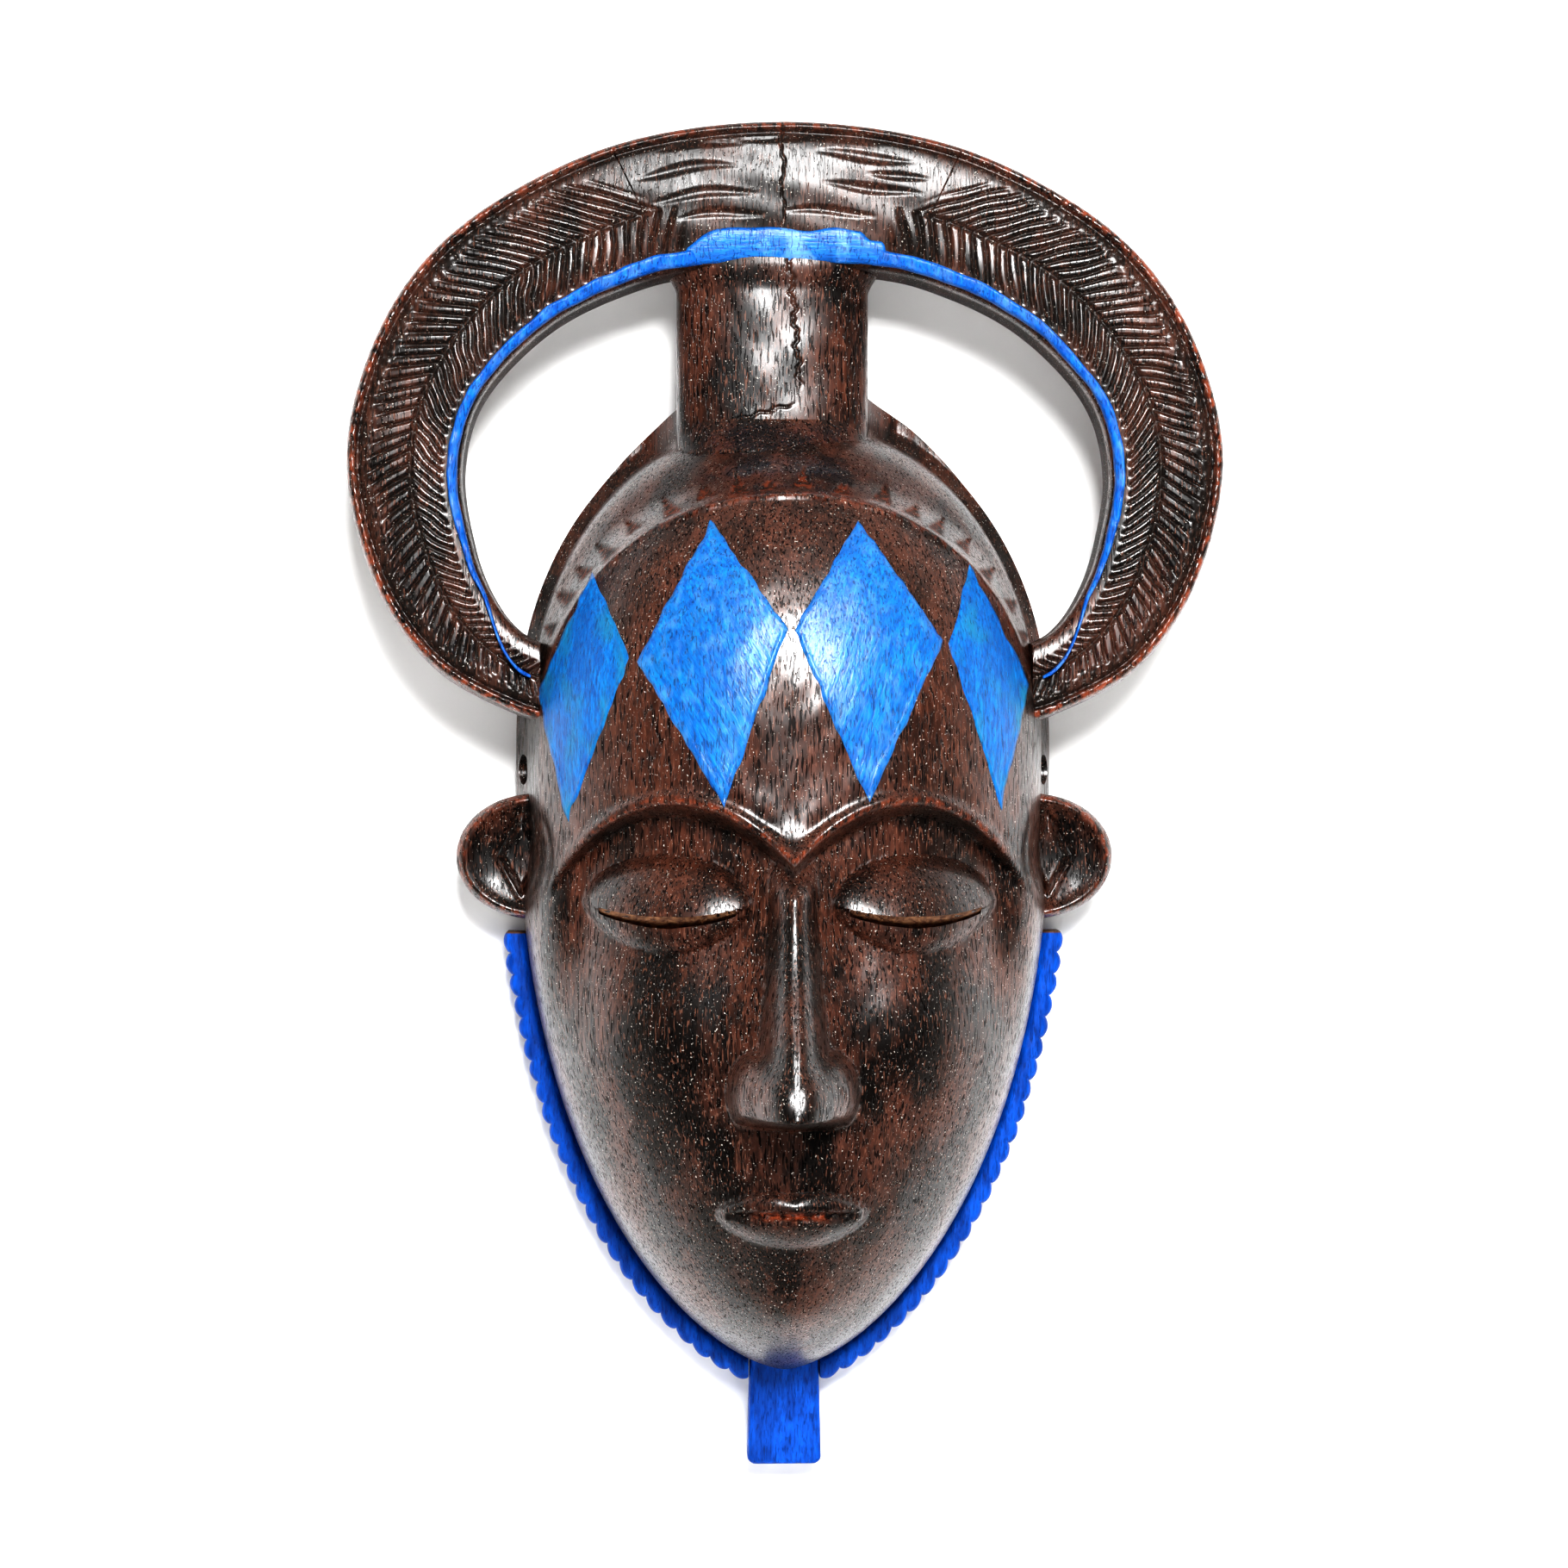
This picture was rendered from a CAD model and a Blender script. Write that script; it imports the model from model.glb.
"""Looks of the carved wooden mask: fine carved surfaces, varnished dark wood and brushed blue paint.

Lengths are in millimetres in the row frame (the mask faces -Y, +Z is up) until a mesh is made.
"""

import math

import bmesh
import bpy
import numpy as np
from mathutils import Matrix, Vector


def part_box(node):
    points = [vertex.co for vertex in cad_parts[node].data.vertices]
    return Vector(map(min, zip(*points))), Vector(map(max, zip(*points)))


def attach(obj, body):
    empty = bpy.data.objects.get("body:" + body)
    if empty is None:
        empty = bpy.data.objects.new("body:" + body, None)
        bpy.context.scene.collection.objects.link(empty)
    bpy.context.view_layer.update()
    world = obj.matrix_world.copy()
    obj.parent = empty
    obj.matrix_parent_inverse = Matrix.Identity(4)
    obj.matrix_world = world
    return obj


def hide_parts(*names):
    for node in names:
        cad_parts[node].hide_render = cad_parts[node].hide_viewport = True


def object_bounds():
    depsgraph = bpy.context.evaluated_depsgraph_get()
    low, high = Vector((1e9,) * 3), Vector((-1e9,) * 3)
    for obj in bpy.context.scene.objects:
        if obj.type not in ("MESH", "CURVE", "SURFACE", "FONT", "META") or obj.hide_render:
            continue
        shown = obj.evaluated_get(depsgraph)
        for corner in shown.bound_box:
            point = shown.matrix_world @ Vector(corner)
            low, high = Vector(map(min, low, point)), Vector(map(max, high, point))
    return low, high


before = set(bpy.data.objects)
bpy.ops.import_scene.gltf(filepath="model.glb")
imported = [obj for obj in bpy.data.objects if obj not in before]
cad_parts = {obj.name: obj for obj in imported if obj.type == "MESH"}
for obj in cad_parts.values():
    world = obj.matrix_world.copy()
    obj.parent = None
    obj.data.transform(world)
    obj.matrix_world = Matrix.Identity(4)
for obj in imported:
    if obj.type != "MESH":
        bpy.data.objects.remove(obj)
CAD_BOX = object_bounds()

MM = 0.001


def cad(node):
    """Lowest and highest corner of a CAD node, in millimetres."""
    low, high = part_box(node)
    return np.array(low) / MM, np.array(high) / MM


# Head, from the frame
HEAD_LOW, HEAD_HIGH = cad("mask_shell")
HEAD_HALF_WIDTH = HEAD_HIGH[0]
CROWN_Z = HEAD_HIGH[2]
CHIN_Z = HEAD_LOW[2]
HEAD_HEIGHT = CROWN_Z - CHIN_Z
TEMPLE_Z = CROWN_Z - 0.349 * HEAD_HEIGHT
CROWN_POWERS = (2.1, 2.1)
JAW_POWERS = (1.6, 2.4)
HEAD_EGG = (HEAD_HALF_WIDTH, CROWN_Z, TEMPLE_Z, CHIN_Z)
SIDE_FULLNESS = 0.8  # power of the dome's round section
FOREHEAD_DEPTH = 77.0
JAW_DEPTH_GAIN = 15.0
RELIEF_FADE = 0.35  # height of the dome, as a share, at which the carving reaches its full depth
# Flat flange round the forehead: depth at its edge, and slope and reach in shares of the outline
FLANGE_INSET = 0.042
FLANGE_DEPTH = 7.0
FLANGE_SLOPE = 60.0
FLANGE_REACH = 0.075
TEMPLE_LIP = 3.0
TEMPLE_SLOPE = 200.0
CAP_COVE = 0.13
CORD_RADIUS = 4.0
CORD_Y = -9.0
CORD_Z = -82.5

# Hairline, cap and rim
HAIRLINE_HALF_WIDTH = HEAD_HALF_WIDTH - 6.5
HAIRLINE_TOP_Z = CROWN_Z - 28.0
NOTCHES = 20
NOTCH_SIZE = 4.3
NOTCH_START = 0.08  # share of the half turn that is free of them at both ends
NOTCH_RADIUS = 62.0

# Hollow behind the face
HOLLOW = (HEAD_HALF_WIDTH - 10, CROWN_Z - 27, TEMPLE_Z - 5, CHIN_Z + 13)
HOLLOW_DEPTH = 63.0
HOLLOW_JAW_GAIN = 9.0

# Textbook face, as in the frame
THIRD = HEAD_HEIGHT / 3.5
NOSE_BASE_Z = CHIN_Z + THIRD
BROW_Z = CHIN_Z + 2 * THIRD
EYE_Z = CROWN_Z - HEAD_HEIGHT / 2
MOUTH_Z = NOSE_BASE_Z - THIRD / 3
BROW_PEAK_X = 30.0
EYE_X = 31.0
EYE_HALF_WIDTH = 21.0
LIP_HALF_WIDTH = 19.0
EAR_Z = -105.0
ARC_CENTRE_X = 76.0
ARC_RADII = (10.5, 13.0, 15.5)

# Ring crest: half outlines from the top down to a root, scaled later to its width and its height
CREST_HALF_WIDTH = cad("right_horn")[1][0]
CREST_TOP_Z = cad("crest_bridge")[1][2]
CREST_OUTER = (
    (0, 85), (38, 80.5), (68.5, 68), (92, 50.3), (107, 26.5),
    (113.6, -3), (106.5, -34), (91.3, -56), (70, -68), (57, -71),
)
CREST_INNER = (
    (0, 47.3), (20, 46.8), (38, 43.2), (60.5, 32.4), (78.3, 14.2),
    (83.8, -5), (81, -25), (76, -38), (69, -47), (59, -52),
)
CREST_BACK_Y = cad("right_horn")[1][1]
CREST_FACE_Y = cad("right_horn")[0][1]
BRIDGE_END = 0.18
POST_X = (cad("crest_post")[0][0] + cad("crest_post")[1][0]) / 2
POST_Y = -20.0
POST_HALF_DEPTH = 11.6
POST_FRONT = POST_HALF_DEPTH - POST_Y
POST_HALF_WIDTH = 25.0
FOOT_TOP_Z = CROWN_Z - 5.0
FOOT_SLOPE = 1.2
FOOT_FILLET = 9.0
CROWN_SWEEP = 4.0  # rise of the flange beside the post


# ---- meshes and smooth steps


def mm_mesh(name, points, faces):
    mesh = bpy.data.meshes.new(name)
    points = np.asarray(points, np.float64) * MM
    faces = np.asarray(faces)
    mesh.vertices.add(len(points))
    mesh.vertices.foreach_set("co", points.astype(np.float32).ravel())
    count, corners = faces.shape
    mesh.loops.add(count * corners)
    mesh.loops.foreach_set("vertex_index", faces.astype(np.int32).ravel())
    mesh.polygons.add(count)
    mesh.polygons.foreach_set("loop_start", np.arange(0, count * corners, corners, dtype=np.int32))
    mesh.polygons.foreach_set("use_smooth", np.ones(count, bool))
    mesh.update(calc_edges=True)
    mesh.validate()
    return mesh


def new_object(name, data):
    obj = bpy.data.objects.new(name, data)
    bpy.context.scene.collection.objects.link(obj)
    return obj


def tidy(obj):
    """Merges doubled points, drops the flat faces that they leave and turns every face outwards."""
    work = bmesh.new()
    work.from_mesh(obj.data)
    bmesh.ops.remove_doubles(work, verts=work.verts, dist=1e-7)
    bmesh.ops.dissolve_degenerate(work, edges=work.edges, dist=1e-8)
    bmesh.ops.recalc_face_normals(work, faces=work.faces)
    work.to_mesh(obj.data)
    work.free()


def piece(name, points, faces, paint, slot, *nodes, marks=None):
    """A visible piece on the root body; marks are point values that its material reads."""
    mesh = mm_mesh(name, points, faces)
    for mark, values in (marks or {}).items():
        layer = mesh.attributes.new(mark, "FLOAT", "POINT")
        layer.data.foreach_set("value", np.asarray(values, np.float32).ravel())
    mesh.materials.append(paint)
    obj = new_object(name, mesh)
    tidy(obj)
    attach(obj, "root")
    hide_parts(*nodes)
    return obj


def rise(low, high, value):
    """0 below low, 1 above high and a smooth step between them."""
    share = np.clip((value - low) / (high - low), 0.0, 1.0)
    return share * share * (3.0 - 2.0 * share)


def bump(distance, width):
    """1 at no distance, falling off smoothly on both sides."""
    return np.exp(-((distance / width) ** 2))


def waver(x, y, scale, seed):
    """A smooth random-looking height between -1 and 1: sines of several directions and lengths."""
    pick = np.random.default_rng(seed)
    total = 0
    for _ in range(6):
        turn = pick.uniform(0, math.tau)
        phase = pick.uniform(0, math.tau)
        stretch = pick.uniform(0.6, 1.7)
        total = total + np.sin((x * math.cos(turn) + y * math.sin(turn)) * math.tau * stretch / scale + phase)
    return total / 4


def signed_power(value, power):
    return np.sign(value) * np.abs(value) ** power


def line_points(line, shares):
    """Points at shares of the length of a line that is given by many close points."""
    run = np.concatenate([[0], np.cumsum(np.linalg.norm(np.diff(line, axis=0), axis=1))])
    wanted = np.asarray(shares) * run[-1]
    return np.stack([np.interp(wanted, run, line[:, k]) for k in (0, 1)], axis=-1)


def strip_points(start, ray, across, y):
    """Points at distances across a strip, along the ray that leaves each point of its starting edge."""
    x = start[:, :1] + ray[:, :1] * across
    z = start[:, 1:] + ray[:, 1:] * across
    return np.stack([x, y, z], axis=-1).reshape(-1, 3)


def grid_faces(rows, columns):
    """Faces of a grid of points that are numbered row by row."""
    corner = (np.arange(rows - 1)[:, None] * columns + np.arange(columns - 1)).ravel()
    return np.stack([corner, corner + 1, corner + columns + 1, corner + columns], axis=-1)


def grid_border(rows, columns):
    """The point numbers round the edge of such a grid."""
    last = (rows - 1) * columns
    return np.concatenate([
        np.arange(columns),
        np.arange(1, rows) * columns + columns - 1,
        last + np.arange(columns - 2, -1, -1),
        np.arange(rows - 2, 0, -1) * columns,
    ])


def ring_band(low, high):
    """Faces between two closed rings of point numbers."""
    return np.stack([low, np.roll(low, -1), np.roll(high, -1), high], axis=-1)


def slab_faces(rows, columns):
    """Faces of a front grid and a back grid of points, with a wall between their edges."""
    front = grid_faces(rows, columns)
    border = grid_border(rows, columns)
    size = rows * columns
    return np.concatenate([front, front[:, ::-1] + size, ring_band(border, border + size)])


def ring_faces(rows, ring):
    """Faces of a tube of closed rings of points, with a flat cap at both ends."""
    row = np.arange(rows - 1)[:, None] * ring
    here = np.arange(ring)
    after = np.roll(here, -1)
    faces = np.stack([row + here, row + after, row + ring + after, row + ring + here], axis=-1).reshape(-1, 4)
    caps = []
    for start in (0, (rows - 1) * ring):
        for k in range(1, ring // 2):
            caps.append((start + k - 1, start + k, start + ring - 1 - k, start + ring - k))
    return np.concatenate([faces, np.array(caps)])


# ---- head


def egg_share(x, z, half_width, top_z, widest_z, bottom_z):
    """The share of an egg outline's size at which a front-view point lies, found by halving."""
    across = np.abs(x) / half_width
    up = np.maximum(z - widest_z, 0) / (top_z - widest_z)
    down = np.maximum(widest_z - z, 0) / (widest_z - bottom_z)
    low, high = np.zeros_like(across), np.full_like(across, 2.0)
    for _ in range(26):
        middle = (low + high) / 2
        above = (across / middle) ** CROWN_POWERS[0] + (up / middle) ** CROWN_POWERS[1]
        below = (across / middle) ** JAW_POWERS[0] + (down / middle) ** JAW_POWERS[1]
        outside = np.where(z > widest_z, above, below) > 1
        low, high = np.where(outside, middle, low), np.where(outside, high, middle)
    return (low + high) / 2


def egg_point(share, angle, half_width, top_z, widest_z, bottom_z):
    cosine, sine = np.cos(angle), np.sin(angle)
    upper = sine > 0
    across_power = np.where(upper, 2 / CROWN_POWERS[0], 2 / JAW_POWERS[0])
    along_power = np.where(upper, 2 / CROWN_POWERS[1], 2 / JAW_POWERS[1])
    x = half_width * share * signed_power(cosine, across_power)
    reach = np.where(upper, top_z - widest_z, widest_z - bottom_z)
    z = widest_z + share * reach * signed_power(sine, along_power)
    return x, z


def dome_depth(share, z, depth, jaw_gain):
    lower = rise(0, 1, (TEMPLE_Z - z) / (TEMPLE_Z - CHIN_Z))
    return (depth + jaw_gain * lower) * np.sqrt(np.maximum(1 - share**2, 0)) ** SIDE_FULLNESS


def brow_height(side):
    inner = 15.0 * np.maximum(1 - side / BROW_PEAK_X, 0) ** 2
    outer = 19.0 * np.maximum(side / BROW_PEAK_X - 1, 0) ** 2
    return BROW_Z + 4 - inner - outer


def slit_height(side):
    return EYE_Z - 3.0 - 3.5 * (1 - ((side - EYE_X) / EYE_HALF_WIDTH) ** 2)


def eye_relief(side, z):
    """The hollow under the brow, the bead along it, and two closed lids with a fold above them."""
    below = brow_height(side) - z
    socket = -8.5 * rise(0, 3.6, below) * (1 - rise(14, 62, below))
    bead = 1.7 * bump(below + 1.3, 1.9) + 0.5 * bump(below + 7, 5)
    lens = np.maximum(1 - ((side - EYE_X) / EYE_HALF_WIDTH) ** 2, 0)
    lids = 0
    for way, height, reach in ((1, 8.5, 16.0), (-1, 5.5, 8.5)):
        off = way * (z - slit_height(side)) / (reach * lens**0.6 + 0.01)
        lids = lids + (off > 0) * height * np.maximum(1 - off**2, 0) ** 0.75 * lens**0.5
    return (socket + bead) * (1 - rise(50, 64, side)) + lids


def nose_relief(side, z):
    top_z = BROW_Z - 10
    along = np.clip((top_z - z) / (top_z - NOSE_BASE_Z), 0, 1)
    half = 6.0 + 5.5 * along**2
    bridge = (5.0 + 15.0 * along**1.15) * np.maximum(1 - (side / half) ** 2, 0) ** 0.9
    across, up = (side - 8.5) / 8.0, (z - NOSE_BASE_Z - 6.0) / 11.0
    wing = 13.0 * np.maximum(1 - across**2 - up**2, 0) ** 0.8
    joined = (bridge**2.2 + wing**2.2) ** (1 / 2.2) * rise(4, 20, BROW_Z - z)
    root = 7.0 * bump(side, 11) * rise(0, 20, BROW_Z - z)
    return (joined + root) * rise(NOSE_BASE_Z - 3.5, NOSE_BASE_Z + 1.5, z)


def mouth_relief(side, z):
    off = z - MOUTH_Z
    muzzle = 4.5 * bump(side, 28) * bump(off, 22)
    lens = np.maximum(1 - (side / LIP_HALF_WIDTH) ** 2, 0)
    top = 6.5 * lens**0.7 * (1 - 0.18 * bump(side, 3.5)) + 0.01
    low = 8.5 * lens**0.6 + 0.01
    curve = np.maximum(1 - (off / np.where(off > 0, top, low)) ** 2, 0)
    lips = 4.5 * curve**0.6 * np.sqrt(np.minimum(4 * lens, 1))
    parting = 2.4 * bump(off, 0.9) * np.sqrt(lens)
    chin = 4.0 * bump(side, 16) * bump(z - CHIN_Z - 21, 10)
    return muzzle + lips - parting + chin


def hairline_share(x, z):
    return egg_share(x, z, HAIRLINE_HALF_WIDTH, HAIRLINE_TOP_Z, TEMPLE_Z, CHIN_Z)


def hairline_relief(x, z):
    """The worn ridge along the hairline and the cap set back behind it."""
    share = hairline_share(x, z)
    upper = rise(TEMPLE_Z, TEMPLE_Z + 30, z)
    uneven = 0.6 + 0.4 * waver(x, z, 14, 9)
    ridge = 1.2 * uneven * bump(share - 1, 0.018) - 3.8 * rise(0.99, 1.12, share)
    return ridge * upper


def notch_depth(x, z):
    """0 to 1 inside the triangular notches that follow the hairline."""
    share = hairline_share(x, z)
    angle = np.arctan2((z - TEMPLE_Z) / (HAIRLINE_TOP_Z - TEMPLE_Z), x / HAIRLINE_HALF_WIDTH)
    pitch = math.pi * (1 - 2 * NOTCH_START) / NOTCHES
    cell = (angle - math.pi * NOTCH_START) / pitch
    inside = (cell > 0) & (cell < NOTCHES)
    index = np.floor(cell)
    off = np.abs(cell - index - 0.5 - 0.14 * np.sin(index * 5.1)) * pitch * NOTCH_RADIUS
    height = (share - 1.048 - 0.010 * np.sin(index * 3.7)) * NOTCH_RADIUS / (1 + 0.2 * np.sin(index * 9.3))
    triangle = np.minimum(NOTCH_SIZE * 0.5 - off - height * 0.5, height + NOTCH_SIZE * 0.4)
    return np.clip(triangle / 0.9, 0, 1) * inside


def face_relief(x, z):
    side = np.abs(x)
    cheek = 3.0 * bump(side - 36, 18) * bump(z - BROW_Z + 53, 20)
    carved = eye_relief(side, z) + nose_relief(side, z) + mouth_relief(side, z) + hairline_relief(x, z)
    return carved + cheek - scar_arcs(side, z)


def scar_arcs(side, z):
    """Three fine arcs cut in front of each ear."""
    arcs = 0
    for radius in ARC_RADII:
        arcs = arcs + 0.8 * bump(np.hypot(side - ARC_CENTRE_X, (z - EAR_Z) * 0.8) - radius, 0.5)
    return arcs * (1 - rise(8, 12, np.abs(z - EAR_Z)))


def cap_cove(x, z, dome_share):
    """0 at the hairline and at the flange and 1 midway between them, where the cap is hollowed."""
    hairline = hairline_share(x, z)
    band = hairline / np.maximum(dome_share, 0.2) - 1
    along = np.clip((hairline - 1) / np.maximum(band, 0.01), 0, 1)
    return np.sin(math.pi * along) * rise(TEMPLE_Z, TEMPLE_Z + 40, z) * rise(14, 42, np.abs(x))


def post_foot(x, z):
    """Depth of the wood that sweeps up from the cap to the front of the post."""
    off = np.abs(x - POST_X)
    bulge = np.maximum(1 - (off / POST_HALF_WIDTH) ** 2.5, 0)
    front = POST_FRONT - POST_HALF_DEPTH * (1 - bulge**0.45) - 0.4
    below = np.maximum(FOOT_TOP_Z - z, 0)
    front = front + FOOT_SLOPE * below**2 / (below + 3) * bulge
    fillet = FLANGE_DEPTH + 13 * np.clip(1 - (off - POST_HALF_WIDTH) / FOOT_FILLET, 0, 1) ** 2
    fillet = fillet * (1 - rise(FOOT_FILLET - 1, FOOT_FILLET, off - POST_HALF_WIDTH))
    return np.where(off < POST_HALF_WIDTH, front, fillet) * rise(FOOT_TOP_Z - 16, FOOT_TOP_Z - 10, z)


def carved_depth(x, z):
    """Distance of the carved front from the wall plane at a front-view point."""
    share = np.minimum(egg_share(x, z, *HEAD_EGG), 1)
    upper = rise(TEMPLE_Z - 45, TEMPLE_Z - 25, z)
    dome_share = np.minimum(share * (1 + FLANGE_INSET * upper), 1)
    rim_height = np.sqrt(np.maximum(1 - dome_share**2, 0))
    hand = 0.22 * waver(x, z, 38, 3) + 0.10 * waver(x, z, 13, 4)
    relief = face_relief(x, z) + hand - 1.2 * notch_depth(x, z)
    dome = dome_depth(dome_share, z, FOREHEAD_DEPTH, JAW_DEPTH_GAIN)
    dome = dome * (1 - CAP_COVE * cap_cove(x, z, dome_share)) + relief * rise(0, RELIEF_FADE, rim_height)
    rough = 0.16 * waver(x, z, 8, 6)
    high = rise(TEMPLE_Z + 5, TEMPLE_Z + 35, z)
    lip = TEMPLE_LIP + (FLANGE_DEPTH - TEMPLE_LIP) * high
    slope = TEMPLE_SLOPE + (FLANGE_SLOPE - TEMPLE_SLOPE) * high
    flange = (lip + slope * np.minimum(1 - share, FLANGE_REACH) + rough) * upper
    return np.maximum(np.maximum(dome, flange), post_foot(x, z))


def crowded(count, centre, width, gain):
    """Steps from -1 to 1 that lie closer together round a centre."""
    fine = np.linspace(-1, 1, 801)
    density = 1 + gain * bump(fine - centre, width)
    run = np.concatenate([[0], np.cumsum((density[1:] + density[:-1]) / 2)])
    return np.interp(np.linspace(0, run[-1], count), run, fine)


HEAD_COLUMNS = 191
HEAD_ROWS = 339
CORE_SHARE = 0.93
RIM_SHARES = (
    0.937, 0.943, 0.948, 0.952, 0.9555, 0.958, 0.960, 0.962, 0.965,
    0.970, 0.976, 0.982, 0.988, 0.993, 0.997, 1.0,
)
HOLLOW_SHARES = (1.0, 0.998, 0.99, 0.975, 0.94, 0.88, 0.80, 0.70, 0.58, 0.44, 0.30, 0.16, 0.05)


def head_point(share, angle):
    """The front-view point at a share of the outline; the rows near the brow follow its arches."""
    x, z = egg_point(share, angle, *HEAD_EGG)
    pull = bump(z - BROW_Z, 22) * rise(0, 0.6, 1 - share)
    sweep = CROWN_SWEEP * (1 - rise(26, 52, np.abs(x))) * rise(0.90, 1.0, share)
    sweep = sweep * rise(TEMPLE_Z, TEMPLE_Z + 40, z)
    return x, z + pull * (brow_height(np.abs(x)) - BROW_Z) + sweep


def head_grid():
    """Front-view places and angles of the points of the face, closer together round the nose."""
    columns, rows = crowded(HEAD_COLUMNS, 0, 0.5, 0.7), crowded(HEAD_ROWS, -0.25, 0.4, 1.1)
    columns, rows = np.meshgrid(columns, rows, indexing="ij")
    a, b = columns * np.sqrt(1 - rows**2 / 2), rows * np.sqrt(1 - columns**2 / 2)
    reach, angle = np.minimum(np.hypot(a, b), 1), np.arctan2(b, a)
    share = CORE_SHARE * reach * (1.2 - 0.2 * reach**2)
    x, z = head_point(share, angle)
    return x.ravel(), z.ravel(), angle.ravel()


def front_points(x, z):
    return np.stack([x, -carved_depth(x, z), z], axis=-1)


def hollow_ring(share, around):
    """One ring of points of the gouged hollow behind the face."""
    shares = np.full(len(around), share)
    x, z = egg_point(shares, around, *HOLLOW)
    scoop = 0.8 * np.abs(waver(x, z * 0.6, 26, 8)) * rise(0, 0.2, 1 - share)
    depth = dome_depth(shares, z, HOLLOW_DEPTH, HOLLOW_JAW_GAIN) - scoop
    return np.stack([x, -depth, z], axis=-1)


def head_faces(border, rings):
    """Faces of the face's grid, of the rings that follow it and of the fan that closes the hollow."""
    count = len(border)
    first = HEAD_COLUMNS * HEAD_ROWS
    numbers = [border] + [first + k * count + np.arange(count) for k in range(rings)]
    faces = [grid_faces(HEAD_COLUMNS, HEAD_ROWS)]
    faces += [ring_band(low, high) for low, high in zip(numbers, numbers[1:])]
    half = numbers[-1][::2]
    centre = np.full(len(half), first + rings * count)
    faces.append(np.stack([half, half + 1, np.roll(half, -1), centre], axis=-1))
    return np.concatenate(faces)


def head(paint, raw):
    x, z, angle = head_grid()
    border = grid_border(HEAD_COLUMNS, HEAD_ROWS)
    around = angle[border]
    front = [front_points(x, z)]
    for share in RIM_SHARES:
        front.append(front_points(*head_point(np.full(len(border), share), around)))
    front.append(front[-1] * np.array([1, 0, 1]))
    back = [hollow_ring(share, around) for share in HOLLOW_SHARES]
    back.append([(0, -HOLLOW_DEPTH, HOLLOW[2])])
    seen = np.concatenate(front)
    points = np.concatenate([seen, *back])
    marks = {}
    for mark, rule in (("worn", head_wear), ("cut", head_cuts), ("warm", stain_warmth)):
        marks[mark] = np.zeros(len(points))
        marks[mark][:len(seen)] = rule(seen[:, 0], seen[:, 2])
    faces = head_faces(border, len(RIM_SHARES) + 1 + len(HOLLOW_SHARES))
    obj = piece("head", points, faces, paint, "shell_wood", "mask_shell", marks=marks)
    carve(obj, [slit_blade(-1, raw), slit_blade(1, raw), cord_drill(paint)])


def stain_warmth(x, z):
    """Where the stain is thin and the red wood shows: most of the forehead, and a little on the lids."""
    forehead = rise(BROW_Z - 4, BROW_Z + 8, z) * (1 - rise(0.90, 1.0, hairline_share(x, z)))
    lids = 0.6 * bump(np.abs(x) - EYE_X, 16) * bump(z - EYE_Z - 6, 10)
    return np.maximum(forehead, lids)


def head_cuts(x, z):
    """Where the surface is cut or matte: the flange, the notches and the arcs before the ears."""
    flange = rise(0.95, 0.965, egg_share(x, z, *HEAD_EGG)) * rise(TEMPLE_Z + 20, TEMPLE_Z + 45, z)
    return 0.6 * flange + 0.9 * notch_depth(x, z) + scar_arcs(np.abs(x), z)


def head_wear(x, z):
    """Where handling has rubbed the stain off: the brow's edge, the hairline, the notches and the rim."""
    side = np.abs(x)
    below = brow_height(side) - z
    hairline = hairline_share(x, z)
    rim = egg_share(x, z, *HEAD_EGG)
    return (
        0.55 * bump(below + 0.8, 0.9) * (1 - rise(48, 60, side))
        + 0.8 * notch_depth(x, z)
        + 0.3 * bump(hairline - 1, 0.018) * rise(TEMPLE_Z, TEMPLE_Z + 40, z)
        + 0.2 * rise(0.985, 1.0, rim) * rise(TEMPLE_Z - 20, TEMPLE_Z, z)
        + 0.9 * bump(z - MOUTH_Z, 0.8) * (1 - rise(6, 11, side))
    )


def slit_blade(sign, raw):
    """A thin bowed blade that slants down from between the lids into the hollow."""
    across = np.linspace(-1, 1, 41) * (EYE_HALF_WIDTH - 4)
    side = EYE_X + across
    middle = slit_height(side)
    face_y = -carved_depth(side, middle + 1.0)
    thick = 0.95 * np.maximum(1.05 - np.abs(across) / EYE_HALF_WIDTH, 0) ** 0.5
    thick = thick * (1 + 0.12 * waver(side, middle, 9, 55))
    rows = []
    for y_off in (-12.0, 0.0, 30.0):
        drop = -0.42 * max(y_off, 0.0)
        upper = np.stack([sign * side, face_y + y_off, middle + thick + drop], axis=-1)
        lower = np.stack([sign * side, face_y + y_off, middle - thick + drop], axis=-1)
        rows.append(np.concatenate([upper, lower[::-1]]))
    return cutter("slit_blade", np.array(rows), raw)


def cord_drill(wall):
    """A round bar through both side walls; its holes keep the stained wood."""
    turn = np.linspace(0, math.tau, 48, endpoint=False)
    y = CORD_Y + CORD_RADIUS * np.cos(turn)
    z = CORD_Z + CORD_RADIUS * np.sin(turn)
    rows = [np.stack([np.full_like(turn, x), y, z], axis=-1) for x in (-90.0, -30.0, 30.0, 90.0)]
    return cutter("cord_drill", np.array(rows), wall)


def cutter(name, rows, wall):
    mesh = mm_mesh(name, rows.reshape(-1, 3), ring_faces(rows.shape[0], rows.shape[1]))
    mesh.materials.append(wall)
    obj = new_object(name, mesh)
    tidy(obj)
    return obj


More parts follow.
